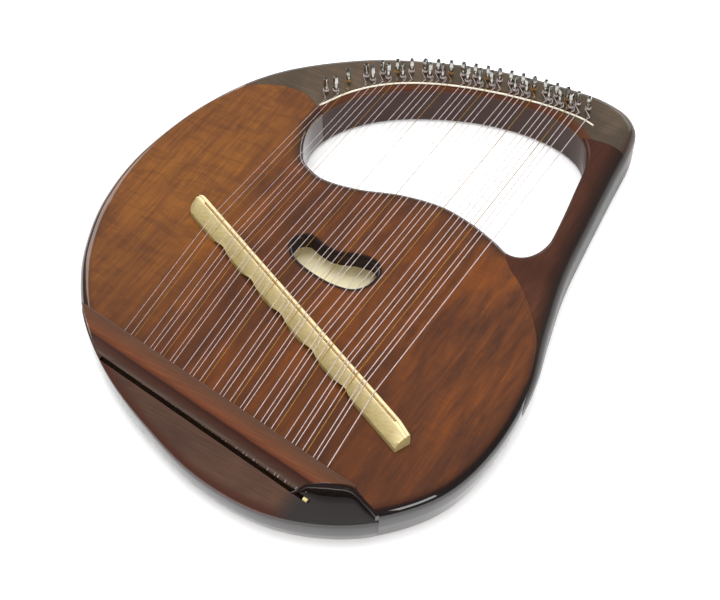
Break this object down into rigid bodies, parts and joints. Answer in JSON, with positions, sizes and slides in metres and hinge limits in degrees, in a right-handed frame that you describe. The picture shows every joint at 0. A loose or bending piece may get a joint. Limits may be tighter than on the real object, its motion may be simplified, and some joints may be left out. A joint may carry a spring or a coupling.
{
  "type": "hand lyre",
  "caption": "Chromatic hand lyre: hollow rounded body, slanted bridge over a sound hole, a slim pillar, and a curved arm of tuning pins round a hand opening.",
  "frame": {"origin": "centre of the outline's bounding box, on the back face", "axes": "+X across the strings towards the low strings and the pillar, +Y along the strings towards the pin arm, +Z out of the soundboard"},
  "size_m": [0.4758, 0.598, 0.0691],
  "materials": {
    "back_wood": "gloss lacquer",
    "side_wood": "gloss lacquer",
    "top_wood": "sunburst gloss lacquer",
    "tail_wood": "gloss lacquer",
    "rail_wood": "gloss lacquer",
    "arm_wood": "satin lacquer",
    "pillar_wood": "satin lacquer",
    "inner_wood": "bare",
    "bridge_wood": "satin",
    "rod_brass": "polished",
    "saddle_brass": "satin",
    "nut_metal": "satin",
    "pin_nickel": "polished",
    "string_bronze": "wound wire",
    "string_steel": "plain wire"
  },
  "bodies": {
    "frame": {"back_plate": "back_wood", "side_walls": "side_wood", "soundboard": "top_wood", "tail_block": "tail_wood", "hitch_rail": "rail_wood", "hitch_rod": "rod_brass", "string_loops": "string_steel", "pin_arm": "arm_wood", "pillar": "pillar_wood", "arm_dowels": "inner_wood", "pillar_dowels": "inner_wood", "corner_block": "inner_wood", "foot_block": "inner_wood", "top_lining": "inner_wood", "back_lining": "inner_wood", "soundboard_braces": "inner_wood", "bridge_plate": "inner_wood", "back_braces": "inner_wood", "bridge": "bridge_wood", "saddle_wire": "saddle_brass", "nut_rod": "nut_metal", "guide_pins": "pin_nickel", "strings_bass": "string_bronze", "strings_middle": "string_steel", "strings_treble": "string_steel"},
    "pin_01": {"tuning_pin_01": "pin_nickel"},
    "pin_02": {"tuning_pin_02": "pin_nickel"},
    "pin_03": {"tuning_pin_03": "pin_nickel"},
    "pin_04": {"tuning_pin_04": "pin_nickel"},
    "pin_05": {"tuning_pin_05": "pin_nickel"},
    "pin_06": {"tuning_pin_06": "pin_nickel"},
    "pin_07": {"tuning_pin_07": "pin_nickel"},
    "pin_08": {"tuning_pin_08": "pin_nickel"},
    "pin_09": {"tuning_pin_09": "pin_nickel"},
    "pin_10": {"tuning_pin_10": "pin_nickel"},
    "pin_11": {"tuning_pin_11": "pin_nickel"},
    "pin_12": {"tuning_pin_12": "pin_nickel"},
    "pin_13": {"tuning_pin_13": "pin_nickel"},
    "pin_14": {"tuning_pin_14": "pin_nickel"},
    "pin_15": {"tuning_pin_15": "pin_nickel"},
    "pin_16": {"tuning_pin_16": "pin_nickel"},
    "pin_17": {"tuning_pin_17": "pin_nickel"},
    "pin_18": {"tuning_pin_18": "pin_nickel"},
    "pin_19": {"tuning_pin_19": "pin_nickel"},
    "pin_20": {"tuning_pin_20": "pin_nickel"},
    "pin_21": {"tuning_pin_21": "pin_nickel"},
    "pin_22": {"tuning_pin_22": "pin_nickel"},
    "pin_23": {"tuning_pin_23": "pin_nickel"},
    "pin_24": {"tuning_pin_24": "pin_nickel"},
    "pin_25": {"tuning_pin_25": "pin_nickel"},
    "pin_26": {"tuning_pin_26": "pin_nickel"},
    "pin_27": {"tuning_pin_27": "pin_nickel"},
    "pin_28": {"tuning_pin_28": "pin_nickel"},
    "pin_29": {"tuning_pin_29": "pin_nickel"},
    "pin_30": {"tuning_pin_30": "pin_nickel"},
    "pin_31": {"tuning_pin_31": "pin_nickel"},
    "pin_32": {"tuning_pin_32": "pin_nickel"},
    "pin_33": {"tuning_pin_33": "pin_nickel"},
    "pin_34": {"tuning_pin_34": "pin_nickel"},
    "pin_35": {"tuning_pin_35": "pin_nickel"}
  },
  "joints": [
    {"name": "pin_01_turn", "type": "hinge", "parent": "frame", "child": "pin_01", "pos_m": [0.1186, 0.27086, 0.048], "axis": [0, 0, 1], "continuous": true},
    {"name": "pin_02_turn", "type": "hinge", "parent": "frame", "child": "pin_02", "pos_m": [0.1066, 0.2717, 0.048], "axis": [0, 0, 1], "continuous": true},
    {"name": "pin_03_turn", "type": "hinge", "parent": "frame", "child": "pin_03", "pos_m": [0.1015, 0.26633, 0.048], "axis": [0, 0, 1], "continuous": true},
    {"name": "pin_04_turn", "type": "hinge", "parent": "frame", "child": "pin_04", "pos_m": [0.0946, 0.27163, 0.048], "axis": [0, 0, 1], "continuous": true},
    {"name": "pin_05_turn", "type": "hinge", "parent": "frame", "child": "pin_05", "pos_m": [0.0895, 0.26598, 0.048], "axis": [0, 0, 1], "continuous": true},
    {"name": "pin_06_turn", "type": "hinge", "parent": "frame", "child": "pin_06", "pos_m": [0.0826, 0.27099, 0.048], "axis": [0, 0, 1], "continuous": true},
    {"name": "pin_07_turn", "type": "hinge", "parent": "frame", "child": "pin_07", "pos_m": [0.0775, 0.26504, 0.048], "axis": [0, 0, 1], "continuous": true},
    {"name": "pin_08_turn", "type": "hinge", "parent": "frame", "child": "pin_08", "pos_m": [0.0706, 0.26972, 0.048], "axis": [0, 0, 1], "continuous": true},
    {"name": "pin_09_turn", "type": "hinge", "parent": "frame", "child": "pin_09", "pos_m": [0.0586, 0.26793, 0.048], "axis": [0, 0, 1], "continuous": true},
    {"name": "pin_10_turn", "type": "hinge", "parent": "frame", "child": "pin_10", "pos_m": [0.0535, 0.26153, 0.048], "axis": [0, 0, 1], "continuous": true},
    {"name": "pin_11_turn", "type": "hinge", "parent": "frame", "child": "pin_11", "pos_m": [0.0466, 0.2658, 0.048], "axis": [0, 0, 1], "continuous": true},
    {"name": "pin_12_turn", "type": "hinge", "parent": "frame", "child": "pin_12", "pos_m": [0.0415, 0.2592, 0.048], "axis": [0, 0, 1], "continuous": true},
    {"name": "pin_13_turn", "type": "hinge", "parent": "frame", "child": "pin_13", "pos_m": [0.0346, 0.26333, 0.048], "axis": [0, 0, 1], "continuous": true},
    {"name": "pin_14_turn", "type": "hinge", "parent": "frame", "child": "pin_14", "pos_m": [0.0226, 0.26048, 0.048], "axis": [0, 0, 1], "continuous": true},
    {"name": "pin_15_turn", "type": "hinge", "parent": "frame", "child": "pin_15", "pos_m": [0.0175, 0.25352, 0.048], "axis": [0, 0, 1], "continuous": true},
    {"name": "pin_16_turn", "type": "hinge", "parent": "frame", "child": "pin_16", "pos_m": [0.0106, 0.25726, 0.048], "axis": [0, 0, 1], "continuous": true},
    {"name": "pin_17_turn", "type": "hinge", "parent": "frame", "child": "pin_17", "pos_m": [0.0055, 0.25007, 0.048], "axis": [0, 0, 1], "continuous": true},
    {"name": "pin_18_turn", "type": "hinge", "parent": "frame", "child": "pin_18", "pos_m": [-0.0014, 0.25354, 0.048], "axis": [0, 0, 1], "continuous": true},
    {"name": "pin_19_turn", "type": "hinge", "parent": "frame", "child": "pin_19", "pos_m": [-0.0065, 0.24611, 0.048], "axis": [0, 0, 1], "continuous": true},
    {"name": "pin_20_turn", "type": "hinge", "parent": "frame", "child": "pin_20", "pos_m": [-0.0134, 0.24939, 0.048], "axis": [0, 0, 1], "continuous": true},
    {"name": "pin_21_turn", "type": "hinge", "parent": "frame", "child": "pin_21", "pos_m": [-0.0254, 0.24477, 0.048], "axis": [0, 0, 1], "continuous": true},
    {"name": "pin_22_turn", "type": "hinge", "parent": "frame", "child": "pin_22", "pos_m": [-0.0305, 0.23683, 0.048], "axis": [0, 0, 1], "continuous": true},
    {"name": "pin_23_turn", "type": "hinge", "parent": "frame", "child": "pin_23", "pos_m": [-0.0374, 0.23951, 0.048], "axis": [0, 0, 1], "continuous": true},
    {"name": "pin_24_turn", "type": "hinge", "parent": "frame", "child": "pin_24", "pos_m": [-0.0425, 0.23116, 0.048], "axis": [0, 0, 1], "continuous": true},
    {"name": "pin_25_turn", "type": "hinge", "parent": "frame", "child": "pin_25", "pos_m": [-0.0494, 0.23334, 0.048], "axis": [0, 0, 1], "continuous": true},
    {"name": "pin_26_turn", "type": "hinge", "parent": "frame", "child": "pin_26", "pos_m": [-0.0614, 0.22633, 0.048], "axis": [0, 0, 1], "continuous": true},
    {"name": "pin_27_turn", "type": "hinge", "parent": "frame", "child": "pin_27", "pos_m": [-0.0665, 0.21706, 0.048], "axis": [0, 0, 1], "continuous": true},
    {"name": "pin_28_turn", "type": "hinge", "parent": "frame", "child": "pin_28", "pos_m": [-0.0734, 0.21826, 0.048], "axis": [0, 0, 1], "continuous": true},
    {"name": "pin_29_turn", "type": "hinge", "parent": "frame", "child": "pin_29", "pos_m": [-0.0785, 0.20821, 0.048], "axis": [0, 0, 1], "continuous": true},
    {"name": "pin_30_turn", "type": "hinge", "parent": "frame", "child": "pin_30", "pos_m": [-0.0854, 0.20846, 0.048], "axis": [0, 0, 1], "continuous": true},
    {"name": "pin_31_turn", "type": "hinge", "parent": "frame", "child": "pin_31", "pos_m": [-0.0905, 0.19723, 0.048], "axis": [0, 0, 1], "continuous": true},
    {"name": "pin_32_turn", "type": "hinge", "parent": "frame", "child": "pin_32", "pos_m": [-0.0974, 0.19603, 0.048], "axis": [0, 0, 1], "continuous": true},
    {"name": "pin_33_turn", "type": "hinge", "parent": "frame", "child": "pin_33", "pos_m": [-0.1094, 0.18018, 0.048], "axis": [0, 0, 1], "continuous": true},
    {"name": "pin_34_turn", "type": "hinge", "parent": "frame", "child": "pin_34", "pos_m": [-0.1145, 0.16378, 0.048], "axis": [0, 0, 1], "continuous": true},
    {"name": "pin_35_turn", "type": "hinge", "parent": "frame", "child": "pin_35", "pos_m": [-0.1214, 0.15632, 0.048], "axis": [0, 0, 1], "continuous": true}
  ]
}
